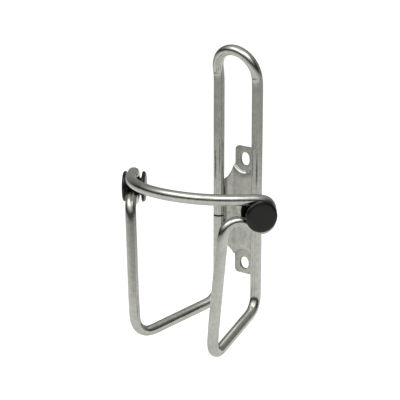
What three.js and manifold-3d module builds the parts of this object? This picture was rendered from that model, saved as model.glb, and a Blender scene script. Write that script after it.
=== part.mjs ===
// Water bottle cage for a bicycle: one bent aluminium tube, a pressed mounting plate
// welded between its two rails, and a two-piece plastic plug in each side loop.
//
// Millimetres. The origin is on the mounting plane, midway between the two bolt slots.
// +Z runs up along the bottle, +Y points at the bicycle frame, +X is to the right.
// The cage is a mirror pair about x = 0, except for the tube's seam on the left rail.

import * as THREE from "three";
import { mergeVertices } from "three/addons/utils/BufferGeometryUtils.js";
import Module from "manifold-3d";

const wasm = await Module();
wasm.setup();

// Tube
const TUBE_RADIUS = 3.175;
const TUBE_WALL = 1.0;
const TUBE_SIDES = 14;
const BORE_SIDES = 10;
const BEND_STEP_DEGREES = 14;

// Rails and the loop that joins them at the top
const RAIL_SPACING = 28.0;
const RAIL_Y = -8.25;
const CREASE_Z = 81.0;
const LOOP_TILT_DEGREES = 17.1;
const LOOP_RISE = 2.75;
const CREASE_BEND = 18.0;

// Bottom runs, feet and legs of the right half
const RAIL_FOOT_Z = -55.2;
const RAIL_FOOT_BEND = 10.2;
const FOOT = [28.2, -66.0, -67.3];
const FOOT_BEND = 9.2;
const KNEE = [30.1, -65.6, -42.5];
const KNEE_BEND = 30.0;

// Hoop: an arc round the bottle that runs on as two straight arms, in a tilted plane
const HOOP_RADIUS = 49.4;
const HOOP_CENTRE_Y = -26.6;
const HOOP_HALF_ANGLE_DEGREES = 53.9;
const HOOP_FRONT_Z = 26.0;
const HOOP_TILT_DEGREES = 3.0;
const HOOP_STEP_DEGREES = 6;
const ARM_LENGTH = 9.5;

// Side loop: the tube turns back under the arm, rises to a crest and drops into the leg
const SIDE_LOOP_REACH = 8.2;
const SIDE_LOOP_LOW_Z = 2.5;
const SIDE_LOOP_BEND = 5.7;
const CREST_REACH = 18.0;
const CREST_Z = 20.0;
const CREST_BEND = 8.6;

// Seam between the tube's two ends, on the left rail, and the pin inside it
const SEAM_Z = -3.3;
const GAP = 0.3;
const PIN_RADIUS = 1.7;
const PIN_LENGTH = 24.0;
const PIN_SEGMENTS = 16;

// Mounting plate
const SHEET = 1.5;
const PANEL_FRONT_Y = -3.7;
const PANEL_HALF_WIDTH = 8.0;
const PANEL_TOP_Z = 26.4;
const SHOULDER_TOP_Z = 17.4;
const SHOULDER_CURVE_NEAR = [8.8, 22.5];
const SHOULDER_CURVE_FAR = [9.4, 18.2];
const SHOULDER_LOW_Z = -20.6;
const SHOULDER_LOW_X = 11.0;
const SHOULDER_LOW_RISE = 2.0;
const TAB_HALF_WIDTH = 7.3;
const TAB_TOP_Z = 38.5;
const TAB_CORNER = 2.6;
// The bolts and the tabs are at +TAB_Z and -TAB_Z; each slot has its own centre and length.
const TAB_Z = 32.0;
const SLOT_WIDTH = 6.2;
const UPPER_SLOT = { z: 31.2, length: 7.9 };
const LOWER_SLOT = { z: -31.9, length: 7.2 };
const RECESS_FRONT_RADIUS = 9.2;
const RECESS_BACK_RADIUS = 7.9;
const RECESS_SEGMENTS = 48;
const OUTLINE_SEGMENTS = 16;
const OVERLAP = 0.1;
const CUT_REACH = 10.0;

// Weld beads behind the wings
const WELD_LENGTH = 9.0;
const WELD_CENTRES_Z = { upper: 9.0, lower: -11.0 };
const WELD_TOE_ANGLE_DEGREES = 62;
const WELD_FACE = [[3.2, 2.75], [4.6, 1.95]];
const WELD_REACH = 5.8;

// Plug
const PLUG_Z = 16.2;
const PLUG_REACH = 1.2;
const PLUG_SHIFT = -0.55;
const FLANGE_RADIUS = 8.85;
const FLANGE_THICKNESS = 2.0;
const FLANGE_BEVEL = 1.2;
const FLANGE_BEVEL_DEPTH = 0.55;
const FLANGE_EDGE = 0.25;
const PLUG_WIDTH = 13.3;
const HUB_RADIUS = 5.2;
const WAIST_RADIUS = 3.45;
const GROOVE_RADIUS = 3.5;
const GROOVE_HALF_HEIGHT = 3.0;
const PLUG_SEGMENTS = 32;

// Snap stud of the inner half and its socket in the outer half
const STUD_RADIUS = 1.65;
const STUD_LENGTH = 3.5;
const STUD_TIP_TAPER = 0.5;
const STUD_BARB = 0.3;
const BARB_HEIGHT = 2.6;
const BARB_RAMP = 0.5;
const SLIT_WIDTH = 0.8;
const SLIT_DEPTH = 3.1;
const SOCKET_END = 3.9;
const SOCKET_RAMP = 0.4;

const MATERIALS = {
  tube: { color: 0xb4b4ae, roughness: 0.34, metalness: 0.95 },
  plate: { color: 0xa6a69f, roughness: 0.48, metalness: 0.9 },
  weld: { color: 0x9c9c96, roughness: 0.5, metalness: 0.9 },
  pin: { color: 0xb0b0ac, roughness: 0.4, metalness: 0.9 },
  plug: { color: 0x242524, roughness: 0.55, metalness: 0.0 },
};

const cage = new THREE.Group();
cage.name = "water_bottle_cage";

function addMesh(name, geometry, material, parent = cage) {
  const mesh = new THREE.Mesh(geometry, new THREE.MeshStandardMaterial(MATERIALS[material]));
  mesh.name = name;
  parent.add(mesh);
  return mesh;
}

const radians = THREE.MathUtils.degToRad;
const point = (x, y, z) => new THREE.Vector3(x, y, z);
const mirrored = (route) => route.map((p) => point(-p.x, p.y, p.z));

// ---------------------------------------------------------------- booleans

function toSolid(geometry) {
  const bare = geometry.clone();
  bare.deleteAttribute("normal");
  bare.deleteAttribute("uv");
  const merged = mergeVertices(bare, 1e-4);
  const mesh = new wasm.Mesh({
    numProp: 3,
    vertProperties: new Float32Array(merged.attributes.position.array),
    triVerts: new Uint32Array(merged.index.array),
  });
  return new wasm.Manifold(mesh);
}

function toGeometry(solid) {
  const { vertProperties, triVerts } = solid.getMesh();
  const geometry = new THREE.BufferGeometry();
  geometry.setAttribute("position", new THREE.BufferAttribute(vertProperties, 3));
  geometry.setIndex(new THREE.BufferAttribute(triVerts, 1));
  geometry.computeVertexNormals();
  return geometry;
}

// A flat outline drawn in x and z, given a thickness from yBack towards -Y.
function frontOutlineSolid(shape, yBack, thickness) {
  const geometry = new THREE.ExtrudeGeometry(shape, {
    depth: thickness,
    bevelEnabled: false,
    curveSegments: OUTLINE_SEGMENTS,
  });
  geometry.rotateX(Math.PI / 2);
  geometry.translate(0, yBack, 0);
  return toSolid(geometry);
}

// A truncated cone about a line along Y, at height z.
function frontConeSolid(z, frontY, frontRadius, backY, backRadius) {
  const geometry = new THREE.CylinderGeometry(backRadius, frontRadius, backY - frontY, RECESS_SEGMENTS);
  geometry.translate(0, (backY + frontY) / 2, z);
  return toSolid(geometry);
}

// ---------------------------------------------------------------- the tube's route

// The points of a circular bend that rounds one corner of a route.
function bend(before, corner, after, radius) {
  const back = before.clone().sub(corner).normalize();
  const ahead = after.clone().sub(corner).normalize();
  const halfAngle = back.angleTo(ahead) / 2;
  const turn = Math.PI - 2 * halfAngle;
  const toTangent = radius / Math.tan(halfAngle);
  const bisector = back.clone().add(ahead).normalize();
  const centre = corner.clone().addScaledVector(bisector, radius / Math.sin(halfAngle));
  const start = corner.clone().addScaledVector(back, toTangent);
  const spokeAxis = back.clone().cross(ahead).normalize();
  const spoke = start.sub(centre);
  const steps = Math.max(3, Math.ceil(THREE.MathUtils.radToDeg(turn) / BEND_STEP_DEGREES));
  const points = [];
  for (let i = 0; i <= steps; i++) {
    const swing = spoke.clone().applyAxisAngle(spokeAxis, (-turn * i) / steps);
    points.push(centre.clone().add(swing));
  }
  return points;
}

// The rounded middle of a route, without its two end points.
function roundedCorners(corners, radii) {
  return radii.flatMap((radius, i) => bend(corners[i], corners[i + 1], corners[i + 2], radius));
}

const halfSpacing = RAIL_SPACING / 2;
const railTop = point(halfSpacing, RAIL_Y, CREASE_Z);
const railFoot = point(halfSpacing, RAIL_Y, RAIL_FOOT_Z);

// Right half of the top loop, from its highest point down to the rail.
function topRoute() {
  const tilt = radians(LOOP_TILT_DEGREES);
  const rise = point(0, -Math.sin(tilt), Math.cos(tilt));
  const centre = point(0, RAIL_Y, CREASE_Z).addScaledVector(rise, LOOP_RISE);
  const steps = Math.ceil(90 / BEND_STEP_DEGREES);
  const points = [];
  for (let i = 0; i <= steps; i++) {
    const angle = (Math.PI / 2) * (1 - i / steps);
    const station = centre.clone().addScaledVector(rise, halfSpacing * Math.sin(angle));
    station.x = halfSpacing * Math.cos(angle);
    points.push(station);
  }
  const loopEnd = points[points.length - 1];
  return [...points, ...bend(loopEnd, railTop, railFoot, CREASE_BEND)];
}

const hoopAngle = radians(HOOP_HALF_ANGLE_DEGREES);
const armDirection = point(Math.cos(hoopAngle), Math.sin(hoopAngle), 0);
const plugAxis = point(Math.sin(hoopAngle), -Math.cos(hoopAngle), 0);

// The hoop's plane falls towards the rails.
function hoopHeight(y) {
  const front = HOOP_CENTRE_Y - HOOP_RADIUS;
  return HOOP_FRONT_Z - Math.tan(radians(HOOP_TILT_DEGREES)) * (y - front);
}

function hoopPoint(angle) {
  const y = HOOP_CENTRE_Y - HOOP_RADIUS * Math.cos(angle);
  return point(HOOP_RADIUS * Math.sin(angle), y, hoopHeight(y));
}

// A point level with the arm's end, moved along the arm, at its own height.
function armPoint(reach, z) {
  const start = hoopPoint(hoopAngle);
  const place = start.addScaledVector(armDirection, ARM_LENGTH + reach);
  place.z = z;
  return place;
}

// Right half of the rest: bottom run, foot, leg, side loop, arm and hoop, to x = 0.
function lowerRoute() {
  const loopTop = armPoint(SIDE_LOOP_REACH, 0);
  loopTop.z = hoopHeight(loopTop.y);
  const arc = [];
  const steps = Math.ceil(HOOP_HALF_ANGLE_DEGREES / HOOP_STEP_DEGREES);
  for (let i = 0; i <= steps; i++) {
    arc.push(hoopPoint(hoopAngle * (1 - i / steps)));
  }
  const corners = [
    railTop,
    railFoot,
    point(...FOOT),
    point(...KNEE),
    armPoint(-CREST_REACH, CREST_Z),
    armPoint(SIDE_LOOP_REACH, SIDE_LOOP_LOW_Z),
    loopTop,
    arc[0],
  ];
  const radii = [RAIL_FOOT_BEND, FOOT_BEND, KNEE_BEND, CREST_BEND, SIDE_LOOP_BEND, SIDE_LOOP_BEND];
  return [...roundedCorners(corners, radii), ...arc];
}

// A curve that steps through its stations one by one, however far apart they are.
class StationCurve extends THREE.Curve {
  constructor(stations) {
    super();
    this.stations = stations;
  }

  getPoint(t) {
    const last = this.stations.length - 1;
    return this.stations[Math.round(t * last)].clone();
  }

  getPointAt(u) {
    return this.getPoint(u);
  }

  getTangent(t) {
    const last = this.stations.length - 1;
    const i = Math.round(t * last);
    const before = this.stations[Math.max(0, i - 1)];
    const after = this.stations[Math.min(last, i + 1)];
    return after.clone().sub(before).normalize();
  }

  getTangentAt(u) {
    return this.getTangent(u);
  }
}

function polygon(sides, radius) {
  const corners = [];
  for (let i = 0; i < sides; i++) {
    const angle = (2 * Math.PI * i) / sides;
    corners.push(new THREE.Vector2(radius * Math.cos(angle), radius * Math.sin(angle)));
  }
  return corners;
}

function tubeGeometry() {
  const top = topRoute();
  const low = lowerRoute();
  const seamX = -halfSpacing;
  const stations = [
    point(seamX, RAIL_Y, SEAM_Z + GAP / 2),
    ...mirrored(top).reverse(),
    ...top.slice(1),
    ...low,
    ...mirrored(low).reverse().slice(1),
    point(seamX, RAIL_Y, SEAM_Z - GAP / 2),
  ];
  const section = new THREE.Shape(polygon(TUBE_SIDES, TUBE_RADIUS));
  section.holes.push(new THREE.Path(polygon(BORE_SIDES, TUBE_RADIUS - TUBE_WALL)));
  return new THREE.ExtrudeGeometry(section, {
    steps: stations.length - 1,
    extrudePath: new StationCurve(stations),
  });
}

function seamPinGeometry() {
  const geometry = new THREE.CylinderGeometry(PIN_RADIUS, PIN_RADIUS, PIN_LENGTH, PIN_SEGMENTS);
  geometry.rotateX(Math.PI / 2);
  geometry.translate(-halfSpacing, RAIL_Y, SEAM_Z);
  return geometry;
}

// ---------------------------------------------------------------- mounting plate

// The wings leave the panel's edges at 45 degrees and stop just short of the rails.
const wingSlope = Math.SQRT1_2;
const panelMiddleY = PANEL_FRONT_Y + SHEET / 2;
const railFromPanel = new THREE.Vector2(halfSpacing - PANEL_HALF_WIDTH, RAIL_Y - panelMiddleY);
const wingLength = (railFromPanel.x - railFromPanel.y) * wingSlope - TUBE_RADIUS - GAP;

// Panel and wings as a folded strip of sheet, seen from above.
function channelSolid() {
  const half = SHEET / 2;
  const fold = half * Math.tan(Math.PI / 8);
  const tipX = PANEL_HALF_WIDTH + wingLength * wingSlope;
  const tipY = panelMiddleY - wingLength * wingSlope;
  const offset = half * wingSlope;
  const rightSide = [
    [PANEL_HALF_WIDTH - fold, panelMiddleY - half],
    [tipX - offset, tipY - offset],
    [tipX + offset, tipY + offset],
    [PANEL_HALF_WIDTH + fold, panelMiddleY + half],
  ];
  const leftSide = rightSide.map(([x, y]) => [-x, y]).reverse();
  const outline = [...rightSide, ...leftSide].map(([x, y]) => new THREE.Vector2(x, y));
  const geometry = new THREE.ExtrudeGeometry(new THREE.Shape(outline), {
    depth: 2 * PANEL_TOP_Z,
    bevelEnabled: false,
  });
  geometry.translate(0, 0, -PANEL_TOP_Z);
  return toSolid(geometry);
}

// Front outline of panel and wings: shoulders that narrow towards both tabs.
function channelOutline() {
  const reach = halfSpacing;
  const narrow = TAB_HALF_WIDTH + OVERLAP;
  const [nearX, nearZ] = SHOULDER_CURVE_NEAR;
  const [farX, farZ] = SHOULDER_CURVE_FAR;
  const shape = new THREE.Shape();
  shape.moveTo(-narrow, PANEL_TOP_Z);
  shape.bezierCurveTo(-nearX, nearZ, -farX, farZ, -reach, SHOULDER_TOP_Z);
  shape.lineTo(-reach, SHOULDER_LOW_Z + SHOULDER_LOW_RISE);
  shape.lineTo(-SHOULDER_LOW_X, SHOULDER_LOW_Z);
  shape.lineTo(-narrow, -PANEL_TOP_Z);
  shape.lineTo(narrow, -PANEL_TOP_Z);
  shape.lineTo(SHOULDER_LOW_X, SHOULDER_LOW_Z);
  shape.lineTo(reach, SHOULDER_LOW_Z + SHOULDER_LOW_RISE);
  shape.lineTo(reach, SHOULDER_TOP_Z);
  shape.bezierCurveTo(farX, farZ, nearX, nearZ, narrow, PANEL_TOP_Z);
  return shape;
}

// Tab with rounded outer corners and a round inner end about its bolt slot.
function tabShape(side) {
  const width = TAB_HALF_WIDTH;
  const endRadius = RECESS_FRONT_RADIUS - OVERLAP;
  const low = TAB_Z - Math.sqrt(endRadius ** 2 - width ** 2);
  const endAngle = Math.atan2(low - TAB_Z, width);
  const shape = new THREE.Shape();
  shape.moveTo(width, low);
  shape.lineTo(width, TAB_TOP_Z - TAB_CORNER);
  shape.quadraticCurveTo(width, TAB_TOP_Z, width - TAB_CORNER, TAB_TOP_Z);
  shape.lineTo(-width + TAB_CORNER, TAB_TOP_Z);
  shape.quadraticCurveTo(-width, TAB_TOP_Z, -width, TAB_TOP_Z - TAB_CORNER);
  shape.lineTo(-width, low);
  shape.absarc(0, TAB_Z, endRadius, Math.PI - endAngle, 2 * Math.PI + endAngle, false);
  return side > 0 ? shape : flippedShape(shape);
}

// The same outline turned over about z = 0.
function flippedShape(shape) {
  const corners = shape.getPoints(OUTLINE_SEGMENTS).map((p) => new THREE.Vector2(p.x, -p.y));
  return new THREE.Shape(corners.reverse());
}

function slotShape({ z, length }) {
  const half = SLOT_WIDTH / 2;
  const straight = (length - SLOT_WIDTH) / 2;
  const shape = new THREE.Shape();
  shape.absarc(0, z + straight, half, 0, Math.PI, false);
  shape.absarc(0, z - straight, half, Math.PI, 2 * Math.PI, false);
  return shape;
}

function mountingPlateGeometry() {
  const tabFrontY = -SHEET;
  const wall = SHEET - OVERLAP;
  let plate = channelSolid();
  for (const side of [1, -1]) {
    const wallFront = RECESS_FRONT_RADIUS + wall;
    const wallBack = RECESS_BACK_RADIUS + wall;
    plate = plate.add(frontConeSolid(side * TAB_Z, PANEL_FRONT_Y, wallFront, 0, wallBack));
  }
  plate = plate.intersect(frontOutlineSolid(channelOutline(), CUT_REACH, 2 * CUT_REACH));
  for (const side of [1, -1]) {
    const z = side * TAB_Z;
    const slot = side > 0 ? UPPER_SLOT : LOWER_SLOT;
    const flare = (RECESS_FRONT_RADIUS - RECESS_BACK_RADIUS) / (tabFrontY - PANEL_FRONT_Y);
    const mouthRadius = RECESS_FRONT_RADIUS + flare * CUT_REACH;
    const mouthY = PANEL_FRONT_Y - CUT_REACH;
    const recess = frontConeSolid(z, mouthY, mouthRadius, tabFrontY, RECESS_BACK_RADIUS);
    plate = plate.subtract(recess);
    plate = plate.add(frontOutlineSolid(tabShape(side), 0, SHEET));
    plate = plate.subtract(frontOutlineSolid(slotShape(slot), CUT_REACH, 2 * CUT_REACH));
  }
  return toGeometry(plate);
}

// ---------------------------------------------------------------- weld beads

// A fillet in the corner behind a wing, where it meets the rail.
function weldGeometry(side, z) {
  const rail = new THREE.Vector2(halfSpacing, RAIL_Y);
  const alongWing = new THREE.Vector2(-wingSlope, wingSlope);
  const outOfWing = new THREE.Vector2(wingSlope, wingSlope);
  const middleOffset = (railFromPanel.x + railFromPanel.y) * -wingSlope;
  const backFace = middleOffset + SHEET / 2 + GAP;
  const tubeFace = TUBE_RADIUS + GAP;
  const local = [];
  const firstAngle = Math.asin(backFace / tubeFace);
  const lastAngle = radians(WELD_TOE_ANGLE_DEGREES);
  const steps = 4;
  for (let i = 0; i <= steps; i++) {
    const angle = THREE.MathUtils.lerp(firstAngle, lastAngle, i / steps);
    local.push([tubeFace * Math.cos(angle), tubeFace * Math.sin(angle)]);
  }
  local.push(...WELD_FACE, [WELD_REACH, backFace]);
  const outline = local.map(([along, out]) => {
    const corner = rail.clone().addScaledVector(alongWing, along).addScaledVector(outOfWing, out);
    return new THREE.Vector2(side * corner.x, corner.y);
  });
  const geometry = new THREE.ExtrudeGeometry(new THREE.Shape(outline), {
    depth: WELD_LENGTH,
    bevelEnabled: false,
  });
  geometry.translate(0, 0, z - WELD_LENGTH / 2);
  return geometry;
}

// ---------------------------------------------------------------- plugs

// Radius of the plug's waist, hollowed to the tube's own roundness.
function grooveRadius(height) {
  return WAIST_RADIUS + GROOVE_RADIUS - Math.sqrt(GROOVE_RADIUS ** 2 - height ** 2);
}

// Half of the waist's profile, from its narrowest ring towards a flange.
function grooveProfile(start, end) {
  const points = [];
  const steps = 5;
  for (let i = 0; i <= steps; i++) {
    const height = start + ((end - start) * i) / steps;
    points.push([grooveRadius(height), height]);
  }
  return points;
}

function lathe(profile) {
  const points = profile.map(([radius, height]) => new THREE.Vector2(radius, height));
  return new THREE.LatheGeometry(points, PLUG_SEGMENTS);
}

const flangeFace = PLUG_WIDTH / 2;
const flangeBack = flangeFace - FLANGE_THICKNESS;
const split = GAP / 2;

// Rim and face of a flange, given the height of the tube's plane in the plug.
function flangeProfile(tubePlane) {
  const back = flangeBack - tubePlane;
  const face = flangeFace - tubePlane;
  return [
    [HUB_RADIUS, back],
    [FLANGE_RADIUS - FLANGE_EDGE, back],
    [FLANGE_RADIUS, back + FLANGE_EDGE],
    [FLANGE_RADIUS, face - FLANGE_BEVEL_DEPTH],
    [FLANGE_RADIUS - FLANGE_BEVEL / 3, face - FLANGE_BEVEL_DEPTH / 3],
    [FLANGE_RADIUS - FLANGE_BEVEL, face],
    [0, face],
  ];
}

// Outer half: flange, half of the waist and the socket for the other half's stud.
function outerPlugGeometry() {
  const tubePlane = -PLUG_SHIFT;
  const bore = STUD_RADIUS + GAP;
  const pocket = BARB_RAMP + SOCKET_RAMP;
  return lathe([
    [0, SOCKET_END],
    [bore, SOCKET_END],
    [bore, BARB_HEIGHT + pocket],
    [bore + STUD_BARB, BARB_HEIGHT + BARB_RAMP],
    [bore + STUD_BARB, BARB_HEIGHT - BARB_RAMP],
    [bore, BARB_HEIGHT - pocket],
    [bore, split],
    ...grooveProfile(split, GROOVE_HALF_HEIGHT),
    ...flangeProfile(tubePlane),
  ]);
}

// Inner half: flange, the other half of the waist and a split stud with a barb.
function innerPlugGeometry() {
  const tubePlane = PLUG_SHIFT;
  const body = lathe([
    [0, -STUD_LENGTH],
    [STUD_RADIUS - STUD_TIP_TAPER, -STUD_LENGTH],
    [STUD_RADIUS + STUD_BARB, -BARB_HEIGHT],
    [STUD_RADIUS, -BARB_HEIGHT + BARB_RAMP],
    [STUD_RADIUS, split],
    ...grooveProfile(split, GROOVE_HALF_HEIGHT),
    ...flangeProfile(tubePlane),
  ]);
  const across = 2 * (STUD_RADIUS + STUD_BARB) + GAP;
  const slit = new THREE.BoxGeometry(across, 2 * SLIT_DEPTH, SLIT_WIDTH);
  slit.translate(0, -STUD_LENGTH, 0);
  return toGeometry(toSolid(body).subtract(toSolid(slit)));
}

// A turned group that puts the lathe's axis on the plug's axis, outwards.
function plugGroup(side) {
  const seat = armPoint(PLUG_REACH, PLUG_Z);
  const outwards = plugAxis.clone();
  seat.x *= side;
  outwards.x *= side;
  const group = new THREE.Group();
  group.position.copy(seat);
  group.quaternion.setFromUnitVectors(point(0, 1, 0), outwards);
  cage.add(group);
  return group;
}

// ---------------------------------------------------------------- assembly

addMesh("frame_tube", tubeGeometry(), "tube");
addMesh("tube_seam_pin", seamPinGeometry(), "pin");
addMesh("mounting_plate", mountingPlateGeometry(), "plate");

for (const [sideName, side] of [["left", -1], ["right", 1]]) {
  for (const [level, z] of Object.entries(WELD_CENTRES_Z)) {
    addMesh(`weld_${level}_${sideName}`, weldGeometry(side, z), "weld");
  }
  const group = plugGroup(side);
  addMesh(`plug_outer_${sideName}`, outerPlugGeometry(), "plug", group);
  const inner = addMesh(`plug_inner_${sideName}`, innerPlugGeometry(), "plug", group);
  inner.rotation.x = Math.PI;
}

export default cage;
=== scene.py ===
# Water bottle cage: the visual model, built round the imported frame.
# Lengths are millimetres until a mesh is written, which puts them in metres.
# +Z runs up along the bottle, +Y points at the bicycle frame, +X is to the right.

import math

import bpy
import numpy as np
from mathutils import Matrix, Vector, geometry


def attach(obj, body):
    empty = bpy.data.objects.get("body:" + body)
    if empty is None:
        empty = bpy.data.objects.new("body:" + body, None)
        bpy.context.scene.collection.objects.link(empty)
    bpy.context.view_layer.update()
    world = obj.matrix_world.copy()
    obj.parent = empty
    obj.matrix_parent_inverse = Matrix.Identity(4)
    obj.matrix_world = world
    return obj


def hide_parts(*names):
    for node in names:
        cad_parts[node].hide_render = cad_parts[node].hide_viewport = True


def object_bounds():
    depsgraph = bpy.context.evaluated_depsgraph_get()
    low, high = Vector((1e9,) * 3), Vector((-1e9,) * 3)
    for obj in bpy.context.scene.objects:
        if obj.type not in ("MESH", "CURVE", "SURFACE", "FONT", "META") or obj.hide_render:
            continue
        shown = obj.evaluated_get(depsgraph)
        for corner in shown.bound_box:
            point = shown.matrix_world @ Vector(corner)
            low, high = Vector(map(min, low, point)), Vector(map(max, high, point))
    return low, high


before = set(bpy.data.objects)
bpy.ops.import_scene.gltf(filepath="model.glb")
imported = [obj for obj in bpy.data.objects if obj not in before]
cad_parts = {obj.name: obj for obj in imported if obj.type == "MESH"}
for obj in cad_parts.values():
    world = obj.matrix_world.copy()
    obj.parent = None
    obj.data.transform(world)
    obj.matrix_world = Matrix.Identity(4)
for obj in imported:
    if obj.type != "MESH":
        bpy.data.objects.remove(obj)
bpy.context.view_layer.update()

MM = 0.001

# Tube and its route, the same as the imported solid's
TUBE_RADIUS = 3.175
TUBE_WALL = 1.0
TUBE_SIDES = 40
BEND_STEP = math.radians(3.0)
RUN_STEP = 1.6
BEND_EASE = 1.9
RAIL_SPACING = 28.0
RAIL_X = RAIL_SPACING / 2
RAIL_Y = -8.25
CREASE_Z = 81.0
LOOP_TILT = math.radians(17.1)
LOOP_RISE = 2.75
CREASE_BEND = 18.0
RAIL_FOOT_Z = -55.2
RAIL_FOOT_BEND = 10.2
FOOT = (28.2, -66.0, -67.3)
FOOT_BEND = 9.2
KNEE = (30.1, -65.6, -42.5)
KNEE_BEND = 30.0
HOOP_RADIUS = 49.4
HOOP_CENTRE_Y = -26.6
HOOP_HALF_ANGLE = math.radians(53.9)
HOOP_FRONT_Z = 26.0
HOOP_TILT = math.radians(3.0)
ARM_LENGTH = 9.5
SIDE_LOOP_REACH = 8.2
SIDE_LOOP_LOW_Z = 2.5
SIDE_LOOP_BEND = 5.7
CREST_REACH = 18.0
CREST_Z = 20.0
CREST_BEND = 8.6
SEAM_Z = -3.3
GAP = 0.3
SEAM_STATIONS = (0.45, 0.2, 0.06)
SEAM_ROUNDING = (0.2, 0.07)
# How far the seam's darkening reaches from each cut end: dirt and painted shade
SEAM_DIRT_AND_SHADE = 0.42
PIN_RADIUS = 1.7
PIN_LENGTH = 24.0
PIN_EDGE = 0.35

# What bending does to the tube. The flattening grows with the tube's radius over the bend's: it
# is FLATTENING where that is FULL_BEND, and never more than MOST_FLATTENING. The inner side of
# a bend has only a share of it.
FLATTENING = 0.11
FULL_BEND = 0.35
MOST_FLATTENING = 0.1
INNER_SHARE = 0.25
CURVATURE_STEP = 0.5
CURVATURE_SOFT = 1.6
CREASE_MARK_Z = 82.7
CREASE_MARK_DEPTH = 0.3
CREASE_MARK_WIDTH = 0.55
CREASE_MARK_REACH = 2.4
CREASE_MARK_STEP = 0.16

# Mounting plate
SHEET = 1.5
PANEL_MIDDLE_Y = -2.95
TAB_MIDDLE_Y = -0.75
PANEL_HALF_WIDTH = 8.0
FOLD_HALF_WIDTH = 1.0
WING_TIP_X = 11.36
TAB_HALF_WIDTH = 7.3
TAB_TOP_Z = 38.5
TAB_CORNER = 2.6
TAB_Z = 32.0
SLOT_WIDTH = 6.2
UPPER_SLOT = (31.2, 7.9)
LOWER_SLOT = (-31.9, 7.2)
WING_CURVE = ((7.4, 26.4), (8.8, 22.5), (9.4, 18.2), (RAIL_X, 17.4))
WING_LOW_CORNERS = ((WING_TIP_X, -20.3), (11.0, -20.6), (7.4, -26.4))
SHEET_EDGE = 0.34
OUTLINE_STEP = 0.45
SLOT_STEP = 0.4

# The step round each tab, as rings about the tab's centre: a steep fall from the inner to the
# outer ring, then a soft shoulder that takes up the rest
LEDGE_INNER = 8.5
LEDGE_OUTER = 8.95
LEDGE_SHOULDER = 3.4
LEDGE_REST = 0.22
LEDGE_SOFT = 0.1
LEDGE_GRAIN = 0.05

# Weld beads
WELD_LENGTH = 9.0
WELD_CENTRES_Z = {"upper": 9.0, "lower": -11.0}
WELD_STATIONS = 90
WELD_STEPS_ACROSS = 14
WELD_PITCH = 1.05
WELD_CRESCENT = 0.9
WELD_TOE_ANGLE = math.radians(66)
WELD_FOOT = 6.0
WELD_ROOT_DEPTH = 0.25
WELD_BULGE = 0.42
WELD_RIPPLE = 0.09
WELD_EDGE = 0.05
WELD_TAPER = 1.6
WELD_END_SIZE = 0.03

# Plug
PLUG_Z = 16.2
PLUG_REACH = 1.2
PLUG_SHIFT = -0.55
PLUG_WIDTH = 13.3
FLANGE_RADIUS = 8.85
FLANGE_THICKNESS = 2.0
HUB_RADIUS = 5.2
WAIST_RADIUS = 3.45
GROOVE_RADIUS = 3.5
GROOVE_HALF_HEIGHT = 3.0
STUD_RADIUS = 1.65
BEVEL_WIDTH = 1.9
BEVEL_DEPTH = 1.05
RIM_ROUNDING = 0.3
PLUG_SEGMENTS = 96

# Camera: its angles from the front and above, its distance and shifts in metres, and its lens
AZIMUTH = math.radians(40.0)
ELEVATION = math.radians(15.5)
DISTANCE = 0.950
LENS = 145.8
SENSOR = 36.0
CAMERA_RIGHT = -0.02709
CAMERA_UP = 0.005923

# Floor and its reflector, in metres
FLOOR_DROP = 0.06
FLOOR_SIZE = 6.0
FLOOR_TONE = 0.93
FLOOR_GLOW = 0.55
CARD_RADIUS = 0.75
CARD_CORNERS = 48
CARD_CENTRE_Y = -0.034
CARD_LIFT = 0.001
CARD_SIDE = 0.4
CARD_STOPS = [
    (0.0, 0.7), (0.2, 0.74), (0.4, 0.8), (0.53, 0.76), (0.67, 0.7), (0.78, 0.66), (0.87, 0.5),
    (0.94, 0.32), (1.0, 0.25),
]
CARD_SIDE_STOPS = [(0.0, 0.97), (0.5, 0.99), (0.65, 1.0), (1.0, 1.03)]

# Softboxes: azimuth from the camera's towards its right, elevation, distance, size and radiance
SOFTBOXES = {
    "softbox_left": (-58, 52, 1.2, (1.0, 0.5), 1.4),
    "softbox_right": (17, 60, 1.2, (0.7, 0.58), 1.5),
}

# The studio's own light, as (degrees, level) stops: dark at eye level and paler below, a wide
# glow round the two softboxes, and a dimmer wall behind and to the right
WARMTH = 0.97
BASE_STOPS = [
    (-90, 0.7), (-30, 0.6), (-18, 0.34), (-12, 0.34), (-9, 0.5), (-5.8, 0.48), (-3.6, 0.06),
    (-2, 0.02), (14, 0.02), (24, 0.06), (40, 0.16), (60, 0.28), (75, 0.4), (90, 0.45),
]
GLOW_STOPS = [
    (6, 0.0), (15, 0.05), (25, 0.36), (32, 0.64), (45, 0.9), (65, 0.9), (76, 0.6), (90, 0.2),
]
GLOW_SIDE_STOPS = [(-180, 0), (-135, 0.1), (-90, 1.0), (28, 1.0), (50, 0.0), (180, 0)]
WALL_STOPS = [(-5, 0.0), (2, 1.0), (10, 0.85), (28, 0.45), (60, 0.5), (90, 0.3)]
WALL_SIDE_STOPS = [
    (-180, 0.33), (-150, 0.24), (-120, 0.0), (75, 0.0), (98, 0.26), (150, 0.28), (180, 0.33),
]


def vec(*xyz):
    return np.array(xyz, float)


def unit(v):
    return v / np.linalg.norm(v)


def turned(v, axis, angle):
    """v turned about a unit axis."""
    c, s = math.cos(angle), math.sin(angle)
    return v * c + np.cross(axis, v) * s + axis * np.dot(axis, v) * (1 - c)


def bell(reach, width):
    """A bell curve over the whole steps from -reach to reach, with a sum of one."""
    curve = np.exp(-0.5 * (np.arange(-reach, reach + 1) / width) ** 2)
    return curve / curve.sum()


# ---------------------------------------------------------------- meshes and pieces


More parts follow.
